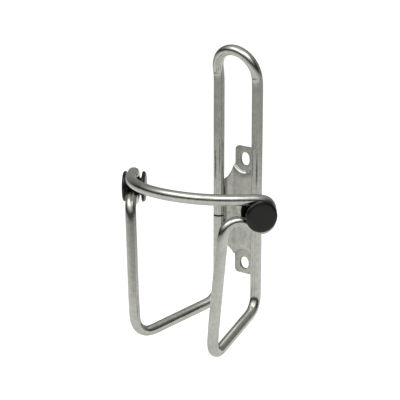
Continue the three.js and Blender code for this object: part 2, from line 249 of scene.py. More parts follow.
def make_piece(name, vertices, faces, material, nodes, sharp=None):
    """A mesh object from millimetre points, which stands for the CAD nodes it replaces."""
    mesh = bpy.data.meshes.new(name)
    points = [Vector(v) * MM for v in vertices]
    mesh.from_pydata(points, [], [list(f) for f in faces])
    mesh.validate()
    mesh.update()
    mesh.shade_smooth()
    if sharp is not None:
        mesh.set_sharp_from_angle(angle=math.radians(sharp))
    piece = bpy.data.objects.new(name, mesh)
    bpy.context.scene.collection.objects.link(piece)
    mesh.materials.append(material)
    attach(piece, "root")
    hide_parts(*nodes)
    return piece


def add_vector_attribute(piece, name, values):
    attribute = piece.data.attributes.new(name, "FLOAT_VECTOR", "POINT")
    attribute.data.foreach_set("vector", np.asarray(values, np.float32).ravel())


def ring_faces(first, second, sides):
    """The quads between two rings of points, given each ring's first index."""
    faces = []
    for i in range(sides):
        j = (i + 1) % sides
        faces.append((first + i, first + j, second + j, second + i))
    return faces


# ---------------------------------------------------------------- the tube's route


def bend(before, corner, after, radius):
    """Points of a circular bend that rounds one corner."""
    back = unit(before - corner)
    ahead = unit(after - corner)
    half_angle = math.acos(float(np.dot(back, ahead))) / 2
    turn = math.pi - 2 * half_angle
    centre = corner + unit(back + ahead) * radius / math.sin(half_angle)
    spoke = corner + back * radius / math.tan(half_angle) - centre
    axis = unit(np.cross(back, ahead))
    steps = max(4, math.ceil(turn / BEND_STEP))
    return [centre + turned(spoke, axis, -turn * i / steps) for i in range(steps + 1)]


RAIL_TOP = vec(RAIL_X, RAIL_Y, CREASE_Z)
RAIL_FOOT = vec(RAIL_X, RAIL_Y, RAIL_FOOT_Z)
ARM_DIRECTION = vec(math.cos(HOOP_HALF_ANGLE), math.sin(HOOP_HALF_ANGLE), 0)
PLUG_AXIS = vec(math.sin(HOOP_HALF_ANGLE), -math.cos(HOOP_HALF_ANGLE), 0)


def top_route():
    """Right half of the top loop, from its highest point down to the rail."""
    rise = vec(0, -math.sin(LOOP_TILT), math.cos(LOOP_TILT))
    centre = vec(0, RAIL_Y, CREASE_Z) + rise * LOOP_RISE
    steps = math.ceil(math.pi / 2 / BEND_STEP)
    points = []
    for i in range(steps + 1):
        angle = math.pi / 2 * (1 - i / steps)
        station = centre + rise * RAIL_X * math.sin(angle)
        station[0] = RAIL_X * math.cos(angle)
        points.append(station)
    return points + bend(points[-1], RAIL_TOP, RAIL_FOOT, CREASE_BEND)


def hoop_height(y):
    return HOOP_FRONT_Z - math.tan(HOOP_TILT) * (y - HOOP_CENTRE_Y + HOOP_RADIUS)


def hoop_point(angle):
    y = HOOP_CENTRE_Y - HOOP_RADIUS * math.cos(angle)
    return vec(HOOP_RADIUS * math.sin(angle), y, hoop_height(y))


def arm_point(reach, z=None):
    """A point along the arm, at its own height or on the hoop's plane."""
    place = hoop_point(HOOP_HALF_ANGLE) + ARM_DIRECTION * (ARM_LENGTH + reach)
    place[2] = hoop_height(place[1]) if z is None else z
    return place


def lower_route():
    """Right half of the rest: bottom run, foot, leg, side loop, arm and hoop, to x = 0."""
    steps = math.ceil(HOOP_HALF_ANGLE / BEND_STEP)
    arc = [hoop_point(HOOP_HALF_ANGLE * (1 - i / steps)) for i in range(steps + 1)]
    corners = [
        RAIL_TOP,
        RAIL_FOOT,
        vec(*FOOT),
        vec(*KNEE),
        arm_point(-CREST_REACH, CREST_Z),
        arm_point(SIDE_LOOP_REACH, SIDE_LOOP_LOW_Z),
        arm_point(SIDE_LOOP_REACH),
        arc[0],
    ]
    radii = [
        RAIL_FOOT_BEND, FOOT_BEND, KNEE_BEND, CREST_BEND, SIDE_LOOP_BEND, SIDE_LOOP_BEND,
    ]
    points = []
    for i, radius in enumerate(radii):
        points += bend(corners[i], corners[i + 1], corners[i + 2], radius)
    return points + arc


def mirrored(points):
    return [p * vec(-1, 1, 1) for p in points]


def tube_stations():
    top = top_route()
    low = lower_route()
    start = vec(-RAIL_X, RAIL_Y, SEAM_Z + GAP / 2)
    end = vec(-RAIL_X, RAIL_Y, SEAM_Z - GAP / 2)
    corners = [start, *mirrored(top)[::-1], *top[1:], *low, *mirrored(low)[::-1][1:], end]
    stations = [corners[0]]
    for a, b in zip(corners, corners[1:]):
        length = np.linalg.norm(b - a)
        if length < 1e-6:
            continue
        pieces = max(1, math.ceil(length / RUN_STEP))
        stations += [a + (b - a) * i / pieces for i in range(1, pieces + 1)]
    # Close stations at each cut end carry its rounded edge, darkened as dirt and painted shade in the
    # seam. The furthest goes in first.
    for reach in SEAM_STATIONS:
        stations.insert(1, start + vec(0, 0, reach))
        stations.insert(-1, end - vec(0, 0, reach))
    return np.array(stations)


def eased(stations):
    """The route with each bend led in and out gently, as a real bender leaves it."""
    spans = np.linalg.norm(np.diff(stations, axis=0), axis=1)
    run = np.concatenate([[0.0], np.cumsum(spans)])
    step = 0.25
    grid = np.arange(0.0, run[-1] + step, step)
    reach = round(3 * BEND_EASE / step)
    kernel = bell(reach, BEND_EASE / step)
    moved = stations.copy()
    for axis in range(3):
        even = np.interp(grid, run, stations[:, axis])
        padded = np.pad(even, reach, mode="reflect", reflect_type="odd")
        moved[:, axis] = np.interp(run, grid, np.convolve(padded, kernel, "valid"))
    return moved


def with_crease_stations(stations):
    """The route with closer stations at the crease marks."""
    near = np.abs(stations[:, 2] - CREASE_MARK_Z) < CREASE_MARK_REACH
    made = [stations[0]]
    for i in range(1, len(stations)):
        pieces = 1
        if near[i] and near[i - 1]:
            span = np.linalg.norm(stations[i] - stations[i - 1])
            pieces = math.ceil(span / CREASE_MARK_STEP)
        step = (stations[i] - stations[i - 1]) / pieces
        made += [stations[i - 1] + step * k for k in range(1, pieces + 1)]
    return np.array(made)


def tube_frames(stations):
    """Tangents, carried normals, curvature towards each bend's centre, and run length."""
    ahead = np.vstack([stations[1:] - stations[:-1], stations[-1:] - stations[-2:-1]])
    behind = np.vstack([ahead[:1], ahead[:-1]])
    lengths = np.linalg.norm(ahead, axis=1)
    run = np.concatenate([[0.0], np.cumsum(lengths[:-1])])
    ahead /= lengths[:, None]
    behind /= np.linalg.norm(behind, axis=1)[:, None]
    tangents = ahead + behind
    tangents /= np.linalg.norm(tangents, axis=1)[:, None]
    normals = np.zeros_like(stations)
    normals[0] = vec(1, 0, 0)
    for i in range(1, len(stations)):
        carried = normals[i - 1] - tangents[i] * np.dot(normals[i - 1], tangents[i])
        normals[i] = unit(carried)
    spans = np.maximum(np.gradient(run), 0.05)
    curvature = (ahead - behind) / spans[:, None]
    # The stations are unevenly spaced, so the curvature is softened at even steps.
    grid = np.arange(0.0, run[-1], CURVATURE_STEP)
    kernel = bell(8, CURVATURE_SOFT / CURVATURE_STEP)
    for axis in range(3):
        even = np.convolve(np.interp(grid, run, curvature[:, axis]), kernel, "same")
        curvature[:, axis] = np.interp(run, grid, even)
    return tangents, normals, curvature, run


def tube_piece(material):
    stations = with_crease_stations(eased(tube_stations()))
    tangents, normals, curvature, run = tube_frames(stations)
    sideways = np.cross(tangents, normals)
    angles = np.arange(TUBE_SIDES) * 2 * math.pi / TUBE_SIDES
    vertices, grain, dirt_and_shade = [], [], []

    def add_ring(i, radius):
        first = len(vertices)
        for angle in angles:
            c, s = math.cos(angle), math.sin(angle)
            outward = normals[i] * c + sideways[i] * s
            local = radius(outward)
            vertices.append(stations[i] + outward * local)
            grain.append((run[i], TUBE_RADIUS * c, TUBE_RADIUS * s))
            # The ends are darkened for dirt and painted shade in the seam.
            dirt_and_shade.append(max(0.0, 1 - min(run[i], run[-1] - run[i]) / SEAM_DIRT_AND_SHADE))
        return first

    def outer_radius(i, edge):
        strength = np.linalg.norm(curvature[i])
        bend_out = -curvature[i] / strength if strength > 1e-4 else vec(0, 0, 0)
        flatten = min(FLATTENING * strength * TUBE_RADIUS / FULL_BEND, MOST_FLATTENING)
        off = (stations[i][2] - CREASE_MARK_Z) / CREASE_MARK_WIDTH
        crease = CREASE_MARK_DEPTH * math.exp(-off * off)

        def radius(outward):
            lean = float(np.dot(outward, bend_out))
            # The crease mark is on the front of the tube.
            dent = crease * max(0.0, -outward[1]) ** 6
            squeeze = flatten * (max(0.0, lean) ** 2 + INNER_SHARE * max(0.0, -lean) ** 2)
            return TUBE_RADIUS * (1 - squeeze) - edge - dent

        return radius

    count = len(stations)
    edges = {}
    for i, depth in enumerate(SEAM_ROUNDING):
        edges[i] = edges[count - 1 - i] = depth
    outer = [add_ring(i, outer_radius(i, edges.get(i, 0.0))) for i in range(count)]
    # The bore is out of sight, so it has a third of the rings.
    kept = [0, *range(3, count - 3, 3), count - 1]
    bore = TUBE_RADIUS - TUBE_WALL
    inner = [add_ring(i, lambda outward: bore) for i in kept]
    faces = []
    for a, b in zip(outer, outer[1:]):
        faces += ring_faces(a, b, TUBE_SIDES)
    for a, b in zip(inner, inner[1:]):
        faces += ring_faces(b, a, TUBE_SIDES)
    faces += ring_faces(inner[0], outer[0], TUBE_SIDES)
    faces += ring_faces(outer[-1], inner[-1], TUBE_SIDES)
    piece = make_piece(
        "bent_tube", vertices, faces, material, ["frame_tube"], sharp=40
    )
    add_vector_attribute(piece, "grain", grain)
    add_vector_attribute(piece, "dirt_and_shade", [(level, level, level) for level in dirt_and_shade])


# ---------------------------------------------------------------- turned pieces


def arc(centre, radius, start, end, steps):
    """Points of an arc in a turned profile, angles in degrees from the radius axis."""
    points = []
    for i in range(steps + 1):
        angle = math.radians(start + (end - start) * i / steps)
        points.append((centre[0] + radius * math.cos(angle),
                       centre[1] + radius * math.sin(angle)))
    return points


def lathe(profile, segments, place):
    """Vertices and faces of a profile of (radius, height) turned about its axis, closed at both ends."""
    vertices, faces, rings = [], [], []
    for radius, height in profile:
        first = len(vertices)
        if radius < 1e-6:
            vertices.append(place(0.0, 0.0, height))
            rings.append((first, 1))
            continue
        for i in range(segments):
            angle = 2 * math.pi * i / segments
            vertices.append(place(radius * math.cos(angle), radius * math.sin(angle), height))
        rings.append((first, segments))
    for (a, many_a), (b, many_b) in zip(rings, rings[1:]):
        if many_a > 1 and many_b > 1:
            faces += ring_faces(a, b, segments)
        elif many_b > 1:
            faces += [(a, b + (i + 1) % segments, b + i) for i in range(segments)]
        else:
            faces += [(a + i, a + (i + 1) % segments, b) for i in range(segments)]
    return vertices, faces


def pin_piece(material):
    half, edge = PIN_LENGTH / 2, PIN_EDGE
    profile = [
        (0, -half), (PIN_RADIUS - edge, -half), (PIN_RADIUS, -half + edge),
        (PIN_RADIUS, half - edge), (PIN_RADIUS - edge, half), (0, half),
    ]

    def place(x, y, height):
        return vec(x - RAIL_X, y + RAIL_Y, height + SEAM_Z)

    vertices, faces = lathe(profile, 40, place)
    make_piece(
        "seam_pin", vertices, faces, material, ["tube_seam_pin"], sharp=30
    )


def groove_radius(height):
    return WAIST_RADIUS + GROOVE_RADIUS - math.sqrt(GROOVE_RADIUS ** 2 - height ** 2)


def flange_profile(tube_plane):
    """Groove, back, rim and face of a plug half, from the joint to the middle of its face."""
    back = PLUG_WIDTH / 2 - FLANGE_THICKNESS - tube_plane
    face = PLUG_WIDTH / 2 - tube_plane
    split = GAP / 2
    groove = []
    for i in range(13):
        height = split + (GROOVE_HALF_HEIGHT - split) * i / 12
        groove.append((groove_radius(height), height))
    hub = [(HUB_RADIUS, height) for height in np.linspace(GROOVE_HALF_HEIGHT + 0.1, back, 3)]
    rim_centre = (FLANGE_RADIUS - RIM_ROUNDING, back + RIM_ROUNDING)
    rim_back = arc(rim_centre, RIM_ROUNDING, -90, 0, 6)
    shoulder = []
    for i in range(15):
        angle = math.pi / 2 * i / 14
        reach = FLANGE_RADIUS - BEVEL_WIDTH * (1 - math.cos(angle))
        shoulder.append((reach, face - BEVEL_DEPTH * (1 - math.sin(angle))))
    flat = [(r, face) for r in (5.6, 3.2, 1.2)]
    return groove + hub + rim_back + shoulder + flat + [(0, face)]


def plug_pieces(side, word, material):
    seat = arm_point(PLUG_REACH, PLUG_Z) * vec(side, 1, 1)
    outwards = PLUG_AXIS * vec(side, 1, 1)
    across = unit(np.cross(vec(0, 0, 1), outwards))
    upwards = np.cross(outwards, across)

    def place_for(sense):
        def place(x, y, height):
            return seat + across * x + upwards * y * sense + outwards * height * sense
        return place

    # The outer half has a socket with a groove, and the inner half a stud with a lip for it.
    bore = STUD_RADIUS + GAP
    outer = [
        (0, 3.9), (bore, 3.9), (bore, 3.5), (bore + 0.3, 3.1), (bore + 0.3, 2.1),
        (bore, 1.7), (bore, GAP / 2),
    ] + flange_profile(-PLUG_SHIFT)
    inner = [
        (0, -3.5), (STUD_RADIUS - 0.5, -3.5), (STUD_RADIUS + 0.3, -2.6),
        (STUD_RADIUS, -2.1), (STUD_RADIUS, GAP / 2),
    ] + flange_profile(PLUG_SHIFT)
    for part, profile, sense in (("outer", outer, 1), ("inner", inner, -1)):
        vertices, faces = lathe(profile, PLUG_SEGMENTS, place_for(sense))
        make_piece(
            f"plug_{part}_half_{word}", vertices, faces, material,
            [f"plug_{part}_{word}"], sharp=50,
        )


# ---------------------------------------------------------------- mounting plate


def bezier(points, steps):
    """Points of a cubic curve after its first one."""
    p0, p1, p2, p3 = (np.array(p, float) for p in points)
    out = []
    for i in range(1, steps + 1):
        t = i / steps
        s = 1 - t
        out.append(s ** 3 * p0 + 3 * s * s * t * p1 + 3 * s * t * t * p2 + t ** 3 * p3)
    return out


def plate_outline():
    """Right half of the plate's outline in x and z, from the top middle to the bottom middle."""
    w, top, corner = TAB_HALF_WIDTH, TAB_TOP_Z, TAB_CORNER
    tip = WING_TIP_X
    shoulder = bezier(WING_CURVE, 40)
    shoulder = [p for p in shoulder if p[0] < tip - 0.05]
    right = [(0.0, top), (w - corner, top)]
    right += arc((w - corner, top - corner), corner, 90, 0, 10)[1:]
    right += [(w, 28.6), (7.32, 27.4)]
    right += [tuple(p) for p in shoulder]
    right += [(tip, shoulder[-1][1] - 0.12), *WING_LOW_CORNERS]
    right += [(w, -27.6), (w, -top + corner)]
    right += arc((w - corner, -top + corner), corner, 0, -90, 10)[1:]
    right += [(0.0, -top)]
    return right


def resampled(loop, step):
    """A closed loop with its points at even steps."""
    loop = np.array(loop, float)
    ring = np.vstack([loop, loop[:1]])
    spans = np.linalg.norm(np.diff(ring, axis=0), axis=1)
    run = np.concatenate([[0], np.cumsum(spans)])
    count = max(8, round(run[-1] / step))
    at = np.linspace(0, run[-1], count, endpoint=False)
    return np.column_stack([np.interp(at, run, ring[:, k]) for k in (0, 1)])


def moved_in(loop, distance):
    """A loop moved to its left by a distance."""
    ahead = np.roll(loop, -1, axis=0) - np.roll(loop, 1, axis=0)
    ahead /= np.linalg.norm(ahead, axis=1)[:, None]
    return loop + np.column_stack([-ahead[:, 1], ahead[:, 0]]) * distance


def inside(points, loop):
    """Whether each point is inside a closed loop."""
    x, z = points[:, 0], points[:, 1]
    found = np.zeros(len(points), bool)
    a = loop
    b = np.roll(loop, -1, axis=0)
    for (x0, z0), (x1, z1) in zip(a, b):
        crosses = (z0 > z) != (z1 > z)
        at = x0 + (z - z0) * (x1 - x0) / (z1 - z0 if z1 != z0 else 1e-12)
        found ^= crosses & (x < at)
    return found


def slot_loop(z, length):
    """A round ended slot on the plate's middle line."""
    radius = SLOT_WIDTH / 2
    straight = (length - SLOT_WIDTH) / 2
    top = arc((0, z + straight), radius, 0, 180, 30)
    low = arc((0, z - straight), radius, 180, 360, 30)
    return resampled(top + low, SLOT_STEP)


def ledge_profile():
    """The formed step's fall at each ring: a steep step with a wide, soft shoulder below it."""
    rings = np.arange(LEDGE_INNER - 0.5, LEDGE_OUTER + 3.0, LEDGE_GRAIN)
    step = np.clip((rings - LEDGE_INNER) / (LEDGE_OUTER - LEDGE_INNER), 0.0, 1.0)
    settled = np.clip((rings - LEDGE_INNER) / LEDGE_SHOULDER, 0.0, 1.0)
    fall = (1 - LEDGE_REST) * step + LEDGE_REST * (1 - (1 - settled) ** 2)
    reach = 9
    padded = np.pad(fall, reach, mode="edge")
    return rings, np.convolve(padded, bell(reach, LEDGE_SOFT / LEDGE_GRAIN), "valid")


LEDGE_RINGS, LEDGE_FALL = ledge_profile()


def plate_surface(x, z):
    """Height of the sheet's middle surface."""
    t = np.abs(x) - PANEL_HALF_WIDTH
    w = FOLD_HALF_WIDTH
    fold = np.where(t < -w, 0.0, np.where(t > w, t, (t + w) ** 2 / (4 * w)))
    channel = PANEL_MIDDLE_Y - fold
    toward = np.minimum(np.abs(z) - TAB_Z, 0.0)
    ring = np.hypot(x, toward)
    return TAB_MIDDLE_Y + (channel - TAB_MIDDLE_Y) * np.interp(ring, LEDGE_RINGS, LEDGE_FALL)


def plate_sides(flat):
    """Middle surface points and unit normals towards +Y for points in x and z."""
    x, z = flat[:, 0], flat[:, 1]
    step = 0.02
    y = plate_surface(x, z)
    dx = (plate_surface(x + step, z) - plate_surface(x - step, z)) / (2 * step)
    dz = (plate_surface(x, z + step) - plate_surface(x, z - step)) / (2 * step)
    normal = np.column_stack([-dx, np.ones_like(x), -dz])
    normal /= np.linalg.norm(normal, axis=1)[:, None]
    return np.column_stack([x, y, z]), normal


def plate_interior(outline, slots):
    """Points over the sheet, close together where it is formed."""
    columns = list(range(-7, 8))
    columns += [s * v for s in (1, -1) for v in (7.35, 7.7, 8, 8.3, 8.65, 9, 9.6, 10.4)]
    rows = np.arange(-38, 38.1, 1.0)
    grid = np.array([(x, z) for x in columns for z in rows])
    points = [grid[np.hypot(grid[:, 0], np.abs(grid[:, 1]) - TAB_Z) > 10.6]]
    radii = [4.9, 5.7, 6.5, 7.2, 7.7, 8.0, 8.2, 8.35]
    radii += [8.48, 8.6, 8.72, 8.84, 8.96, 9.08, 9.25, 9.6, 10.0]
    for side in (1, -1):
        for k, radius in enumerate(radii):
            count = round(2 * math.pi * radius / 0.7)
            angle = (np.arange(count) + 0.5 * (k % 2)) * 2 * math.pi / count
            x, z = radius * np.cos(angle), side * TAB_Z + radius * np.sin(angle)
            points.append(np.column_stack([x, z]))
    points = np.vstack(points)
    margin = moved_in(outline, 0.25)
    keep = inside(points, margin)
    for slot in slots:
        keep &= ~inside(points, moved_in(slot, -0.25))
    return points[keep]


def sheet_triangles(flat, loops):
    """Triangles between points in x and z, inside the first loop and outside the others."""
    edges, start = [], 0
    for loop in loops:
        count = len(loop)
        edges += [(start + i, start + (i + 1) % count) for i in range(count)]
        start += count
    result = geometry.delaunay_2d_cdt([Vector(p) for p in flat], edges, [], 0, 1e-7)
    placed = np.array([list(p) for p in result[0]])
    triangles = np.array(result[2])
    middles = placed[triangles].mean(axis=1)
    keep = inside(middles, loops[0])
    for loop in loops[1:]:
        keep &= ~inside(middles, loop)
    origin = [group[0] for group in result[3]]
    return [[origin[i] for i in t] for t in triangles[keep]]


def edge_rounding():
    """The sheet's rounded edge from its back to its front: (distance in, height) pairs."""
    turns = [math.radians(angle) for angle in (22, 45, 68, 90)]
    pairs = [(SHEET_EDGE * (1 - math.sin(turn)), SHEET / 2 - SHEET_EDGE * (1 - math.cos(turn)))
             for turn in turns]
    return pairs + [(inset_by, -height) for inset_by, height in pairs[::-1]]


def plate_piece(material):
    half = plate_outline()
    left = [(-x, z) for x, z in half[::-1]][1:-1]
    outline = resampled((half + left)[::-1], OUTLINE_STEP)
    slots = [slot_loop(*UPPER_SLOT), slot_loop(*LOWER_SLOT)]
    # Each loop keeps the material on its left, so that it moves into the sheet.
    loops = [outline] + [slot[::-1] for slot in slots]
    inset = [moved_in(loop, SHEET_EDGE) for loop in loops]
    interior = plate_interior(inset[0], [loop[::-1] for loop in inset[1:]])
    flat = np.vstack(inset + [interior])
    triangles = sheet_triangles(flat, inset)

    # The back face is made first, then the front, then the rounded edges between them.
    middle, normal = plate_sides(flat)
    half_sheet = SHEET / 2
    vertices = list(middle + normal * half_sheet) + list(middle - normal * half_sheet)
    total = len(flat)
    a, b, c = (flat[[t[k] for t in triangles]] for k in range(3))
    turn = (b - a)[:, 0] * (c - a)[:, 1] - (b - a)[:, 1] * (c - a)[:, 0]
    faces = []
    for t, sense in zip(triangles, turn):
        t = t if sense < 0 else t[::-1]
        faces.append(tuple(t))
        faces.append(tuple(total + i for i in t[::-1]))
    cut = [0.0] * len(vertices)
    start = 0
    for loop in loops:
        count = len(loop)
        previous = start
        for inset_by, height in edge_rounding():
            base, up = plate_sides(moved_in(loop, inset_by))
            first = len(vertices)
            vertices += list(base + up * height)
            cut += [1.0] * count
            faces += ring_faces(previous, first, count)
            previous = first
        faces += ring_faces(previous, total + start, count)
        start += count
    piece = make_piece(
        "slotted_plate", vertices, faces, material, ["mounting_plate"], sharp=60
    )
    add_vector_attribute(piece, "cut", [(level, level, level) for level in cut])


# ---------------------------------------------------------------- weld beads


def weld_piece(side, side_word, level, centre_z, material):
    """A rippled fillet behind a wing, from the rail round to the wing's back."""
    rail = vec(RAIL_X, RAIL_Y)
    slope = math.sqrt(0.5)
    along_wing = vec(-slope, slope)
    out_of_wing = vec(slope, slope)
    panel_from_rail = vec(PANEL_HALF_WIDTH - RAIL_X, PANEL_MIDDLE_Y - RAIL_Y)
    back_face = float(np.dot(panel_from_rail, out_of_wing)) + SHEET / 2
    toe = vec(TUBE_RADIUS * math.cos(WELD_TOE_ANGLE), TUBE_RADIUS * math.sin(WELD_TOE_ANGLE))
    foot = vec(WELD_FOOT, back_face)
    meeting = math.sqrt(TUBE_RADIUS ** 2 - back_face ** 2)
    root = vec(meeting - WELD_ROOT_DEPTH, back_face - WELD_ROOT_DEPTH)
    lift = unit(vec(foot[1] - toe[1], -(foot[0] - toe[0])))
    lift = lift if np.dot(lift, toe) > 0 else -lift
    count, across = WELD_STATIONS, WELD_STEPS_ACROSS
    vertices = []
    for k in range(count + 1):
        z = WELD_LENGTH * (k / count - 0.5)
        end = min(1.0, (WELD_LENGTH / 2 - abs(z)) / WELD_TAPER)
        scale = math.sqrt(max(0.0, 1 - (1 - end) ** 2)) * (1 - WELD_END_SIZE) + WELD_END_SIZE
        for i in range(across + 1):
            t = i / across
            crescent = (z + WELD_CRESCENT * (2 * t - 1) ** 2) / WELD_PITCH
            ripple = WELD_RIPPLE * abs(math.sin(math.pi * crescent)) ** 0.7
            bulge = (WELD_BULGE + ripple) * 4 * t * (1 - t) + WELD_EDGE
            p = toe + (foot - toe) * t + lift * bulge
            p = root + (p - root) * scale
            vertices.append((p[0], p[1], z))
        vertices.append((root[0], root[1], z))
    width = across + 2
    faces = []
    for k in range(count):
        faces += ring_faces(k * width, (k + 1) * width, width)
    faces.append(tuple(range(width))[::-1])
    faces.append(tuple(count * width + i for i in range(width)))
    placed = []
    for along, out, z in vertices:
        corner = rail + along_wing * along + out_of_wing * out
        placed.append(vec(side * corner[0], corner[1], z + centre_z))
    if side > 0:
        faces = [f[::-1] for f in faces]
    make_piece(
        f"weld_bead_{level}_{side_word}", placed, faces, material,
        [f"weld_{level}_{side_word}"], sharp=60,
    )


# ---------------------------------------------------------------- materials

# Noise scales, per metre
CLOUD_SCALE = 95.0
MOTTLE_SCALE = 420.0
PIT_SCALE = 620.0
STREAK_SCALE = 900.0
SPARK_SCALE = 3800.0
FLOW_SCALE = 260.0

# Painted shade where the wings meet the rails begins and is full at these distances from the plate's
# middle line, and wanders a bit
RAIL_SHADE_START = 0.0098
RAIL_SHADE_FULL = 0.0106
RAIL_SHADE_WANDER = 0.0008
RAIL_SHADE_COLOUR = (0.2, 0.2, 0.18)
CUT_COLOUR = (0.2, 0.2, 0.19)
# The seam's colour: dirt and painted shade
SEAM_DIRT_AND_SHADE_COLOUR = (0.03, 0.03, 0.03)


class Nodes:
    """Short calls for building one material's nodes."""

    def __init__(self, name):
        self.material = bpy.data.materials.new(name)
        self.material.use_nodes = True
        self.tree = self.material.node_tree
        self.tree.nodes.clear()
        self.shader = self.tree.nodes.new("ShaderNodeBsdfPrincipled")
        output = self.tree.nodes.new("ShaderNodeOutputMaterial")
        self.link(self.shader.outputs["BSDF"], output.inputs["Surface"])

    def link(self, a, b):
        self.tree.links.new(a, b)

    def node(self, kind, **values):
        made = self.tree.nodes.new(kind)
        for key, value in values.items():
            setattr(made, key, value)
        return made

    def position(self):
        """Object coordinates, in metres."""
        return self.node("ShaderNodeTexCoord").outputs["Object"]

    def attribute(self, name):
        made = self.node("ShaderNodeAttribute", attribute_name=name)
        return made.outputs["Vector"]

    def scaled(self, vector, scale):
        made = self.node("ShaderNodeVectorMath", operation="MULTIPLY")
        self.link(vector, made.inputs[0])
        made.inputs[1].default_value = scale
        return made.outputs[0]

    def noise(self, vector, scale, detail=3.0, rough=0.5):
        made = self.node("ShaderNodeTexNoise")
        self.link(vector, made.inputs["Vector"])
        made.inputs["Scale"].default_value = scale
        made.inputs["Detail"].default_value = detail
        made.inputs["Roughness"].default_value = rough
        return made.outputs["Fac"]

    def ramp(self, value, low, high, to_low=0.0, to_high=1.0):
        made = self.node("ShaderNodeMapRange")
        self.link(value, made.inputs["Value"])
        for key, number in (
            ("From Min", low), ("From Max", high), ("To Min", to_low), ("To Max", to_high),
        ):
            made.inputs[key].default_value = number
        return made.outputs["Result"]

    def part(self, vector, axis):
        made = self.node("ShaderNodeSeparateXYZ")
        self.link(vector, made.inputs[0])
        return made.outputs[axis]

    def maths(self, operation, a, b):
        made = self.node("ShaderNodeMath", operation=operation)
        for socket, value in zip(made.inputs, (a, b)):
            if isinstance(value, (int, float)):
                socket.default_value = value
            else:
                self.link(value, socket)
        return made.outputs[0]

    def mix(self, factor, a, b):
        # Sockets 6 and 7 are the two colours, and output 2 is the mixed one.
        made = self.node("ShaderNodeMix", data_type="RGBA")
        self.link(factor, made.inputs["Factor"])
        for key, value in ((6, a), (7, b)):
            if isinstance(value, tuple):
                made.inputs[key].default_value = (*value, 1.0)
            else:
                self.link(value, made.inputs[key])
        return made.outputs[2]

    def bump(self, height, distance, strength=1.0, normal=None):
        made = self.node("ShaderNodeBump")
        made.inputs["Distance"].default_value = distance
        made.inputs["Strength"].default_value = strength
        self.link(height, made.inputs["Height"])
        if normal is not None:
            self.link(normal, made.inputs["Normal"])
        return made.outputs["Normal"]

    def set(self, key, value):
        if isinstance(value, (int, float)):
            self.shader.inputs[key].default_value = value
        else:
            self.link(value, self.shader.inputs[key])


def metal(name, dark, light, rough, fine_scale, fine_depth, grain=None, sheet=False):
    """Satin aluminium: tumbled texture, grain drawn along the tube, mottling and small pits."""
    n = Nodes(name)
    here = n.position()
    lines = n.attribute("grain") if grain else here
    stretch = n.scaled(lines, grain or (1.0, 1.0, 1.0))
    streak = n.noise(stretch, 1.0 if grain else STREAK_SCALE, detail=4.0, rough=0.6)
    cloud = n.noise(here, CLOUD_SCALE, detail=4.0, rough=0.55)
    speck = n.noise(here, fine_scale, detail=2.0, rough=0.6)
    mottle = n.noise(here, MOTTLE_SCALE, detail=3.0, rough=0.6)
    tone = n.maths("ADD", n.maths("MULTIPLY", streak, 0.3), n.maths("MULTIPLY", cloud, 0.3))
    tone = n.maths("ADD", tone, n.maths("MULTIPLY", mottle, 0.4))
    colour = n.mix(n.ramp(tone, 0.38, 0.62), dark, light)
    pit = n.ramp(n.noise(here, PIT_SCALE, detail=3.0, rough=0.7), 0.66, 0.74)
    colour = n.mix(n.maths("MULTIPLY", pit, 0.35), colour, tuple(0.7 * c for c in dark))
    if grain:
        # Dirt and painted shade darken the seam, at the tube's two ends.
        dirt_and_shade = n.ramp(n.part(n.attribute("dirt_and_shade"), 0), 0.0, 0.5, 0.0, 0.94)
        colour = n.mix(dirt_and_shade, colour, SEAM_DIRT_AND_SHADE_COLOUR)
    if sheet:
        # Painted shade darkens the wings beside the rails, where they meet the rails' backs, and the cut
        # edges are darker too.
        off = n.maths("ABSOLUTE", n.part(here, 0), 0.0)
        edge = n.maths("ADD", off, n.maths("MULTIPLY", cloud, RAIL_SHADE_WANDER))
        # The painted shade in the crevice between each wing and its rail
        rail_shade = n.ramp(edge, RAIL_SHADE_START, RAIL_SHADE_FULL, 0.0, 0.8)
        colour = n.mix(rail_shade, colour, RAIL_SHADE_COLOUR)
        cut = n.ramp(n.part(n.attribute("cut"), 0), 0.0, 1.0, 0.0, 0.7)
        colour = n.mix(cut, colour, CUT_COLOUR)
    n.set("Base Color", colour)
    n.set("Metallic", 1.0)
    spread = n.maths("ADD", n.maths("MULTIPLY", cloud, 0.6), n.maths("MULTIPLY", speck, 0.4))
    n.set("Roughness", n.ramp(spread, 0.3, 0.7, rough[0], rough[1]))
    normal = n.bump(speck, fine_depth)
    normal = n.bump(streak, fine_depth * 0.8, normal=normal)
    n.set("Normal", normal)
    return n.material


def plastic(name):
    """Moulded black plastic: fine spark grain, faint flow marks and softly rubbed patches."""
    n = Nodes(name)
    here = n.position()
    grain = n.noise(here, SPARK_SCALE, detail=2.0, rough=0.6)
    flow = n.noise(here, FLOW_SCALE, detail=4.0, rough=0.6)
    colour = n.mix(n.ramp(flow, 0.3, 0.7), (0.005, 0.0054, 0.0052), (0.009, 0.0096, 0.0092))
    n.set("Base Color", colour)
    spread = n.maths("ADD", n.maths("MULTIPLY", flow, 0.6), n.maths("MULTIPLY", grain, 0.4))
    n.set("Roughness", n.ramp(spread, 0.3, 0.7, 0.16, 0.26))
    n.set("Normal", n.bump(grain, 0.000006))
    n.shader.inputs["IOR"].default_value = 1.44
    return n.material


tube_metal = metal(
    "satin_tube_metal", (0.52, 0.524, 0.497), (0.69, 0.69, 0.67), (0.16, 0.24), 2600.0, 0.000006,
    grain=(0.02, 4.0, 4.0),
)
sheet_metal = metal(
    "pressed_sheet_metal", (0.53, 0.535, 0.5), (0.84, 0.84, 0.8), (0.3, 0.44), 1700.0, 0.00002,
    sheet=True,
)
bead_metal = metal(
    "weld_bead_metal", (0.44, 0.44, 0.42), (0.6, 0.6, 0.58), (0.28, 0.46), 1500.0, 0.00003
)
